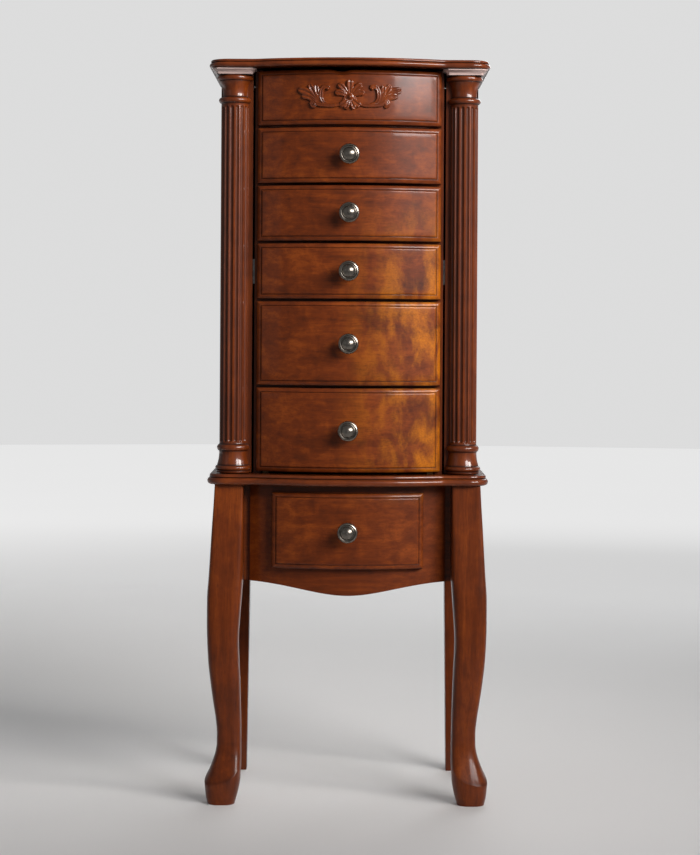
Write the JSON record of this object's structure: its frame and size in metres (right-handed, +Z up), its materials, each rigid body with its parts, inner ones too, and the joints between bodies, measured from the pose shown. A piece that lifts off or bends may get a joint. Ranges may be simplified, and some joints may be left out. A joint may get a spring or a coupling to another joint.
{
  "type": "jewelry armoire",
  "caption": "Free-standing jewelry armoire with bow-front drawers, a mirrored flip-up lid, side necklace doors with fluted columns, and cabriole legs.",
  "frame": {"origin": "on the floor, under the middle of the bounding box", "axes": "+Z up, the drawer fronts face -Y, +X to the right of someone facing them"},
  "size_m": [0.3858, 0.316, 1.016],
  "materials": {
    "stained_wood": "satin",
    "drawer_wood": "matte",
    "antique_metal": "brushed",
    "hinge_brass": "satin",
    "magnet_steel": "satin",
    "felt": "matte",
    "mirror": "polished"
  },
  "bodies": {
    "case": {"applique": "stained_wood", "apron_back": "stained_wood", "apron_front": "stained_wood", "apron_sides": "stained_wood", "back_leg_left": "stained_wood", "back_leg_right": "stained_wood", "block_screws": "magnet_steel", "case_back": "stained_wood", "case_side_left": "stained_wood", "case_side_right": "stained_wood", "corner_blocks": "drawer_wood", "door_hinge_case_leaves": "hinge_brass", "door_magnets": "magnet_steel", "dust_boards": "drawer_wood", "false_front": "stained_wood", "front_leg_left": "stained_wood", "front_leg_right": "stained_wood", "hinge_pins": "hinge_brass", "lid_hinge_case_leaves": "hinge_brass", "lower_drawer_runners": "drawer_wood", "ring_rolls": "felt", "tray_dividers": "felt", "tray_floor": "drawer_wood", "tray_lining": "felt", "waist_board": "stained_wood"},
    "lid": {"lid_panel": "stained_wood", "mirror": "mirror", "lid_hinge_leaves": "hinge_brass"},
    "left_door": {"door_panel_left": "stained_wood", "door_stile_left": "stained_wood", "column_left": "stained_wood", "column_cap_left": "stained_wood", "necklace_hooks_left": "hinge_brass", "door_hinge_leaves_left": "hinge_brass"},
    "right_door": {"door_panel_right": "stained_wood", "door_stile_right": "stained_wood", "column_right": "stained_wood", "column_cap_right": "stained_wood", "necklace_hooks_right": "hinge_brass", "door_hinge_leaves_right": "hinge_brass"},
    "drawer_1": {"drawer_1_front": "stained_wood", "drawer_1_box": "drawer_wood", "drawer_1_knob": "antique_metal"},
    "drawer_2": {"drawer_2_front": "stained_wood", "drawer_2_box": "drawer_wood", "drawer_2_knob": "antique_metal"},
    "drawer_3": {"drawer_3_front": "stained_wood", "drawer_3_box": "drawer_wood", "drawer_3_knob": "antique_metal"},
    "drawer_4": {"drawer_4_front": "stained_wood", "drawer_4_box": "drawer_wood", "drawer_4_knob": "antique_metal"},
    "drawer_5": {"drawer_5_front": "stained_wood", "drawer_5_box": "drawer_wood", "drawer_5_knob": "antique_metal"},
    "lower_drawer": {"lower_drawer_front": "stained_wood", "lower_drawer_box": "drawer_wood", "lower_drawer_knob": "antique_metal"}
  },
  "joints": [
    {"name": "lid_hinge", "type": "hinge", "parent": "case", "child": "lid", "pos_m": [0, 0.15552, 1.00475], "axis": [-1, 0, 0], "range_deg": [0, 95]},
    {"name": "left_door_hinge", "type": "hinge", "parent": "case", "child": "left_door", "pos_m": [-0.1795, 0.14202, 0.72785], "axis": [0, 0, -1], "range_deg": [0, 110]},
    {"name": "right_door_hinge", "type": "hinge", "parent": "case", "child": "right_door", "pos_m": [0.1795, 0.14202, 0.72785], "axis": [0, 0, 1], "range_deg": [0, 110]},
    {"name": "drawer_1_slide", "type": "slide", "parent": "case", "child": "drawer_1", "axis": [0, -1, 0], "range_m": [0, 0.17]},
    {"name": "drawer_2_slide", "type": "slide", "parent": "case", "child": "drawer_2", "axis": [0, -1, 0], "range_m": [0, 0.17]},
    {"name": "drawer_3_slide", "type": "slide", "parent": "case", "child": "drawer_3", "axis": [0, -1, 0], "range_m": [0, 0.17]},
    {"name": "drawer_4_slide", "type": "slide", "parent": "case", "child": "drawer_4", "axis": [0, -1, 0], "range_m": [0, 0.17]},
    {"name": "drawer_5_slide", "type": "slide", "parent": "case", "child": "drawer_5", "axis": [0, -1, 0], "range_m": [0, 0.17]},
    {"name": "lower_drawer_slide", "type": "slide", "parent": "case", "child": "lower_drawer", "axis": [0, -1, 0], "range_m": [0, 0.15]}
  ]
}
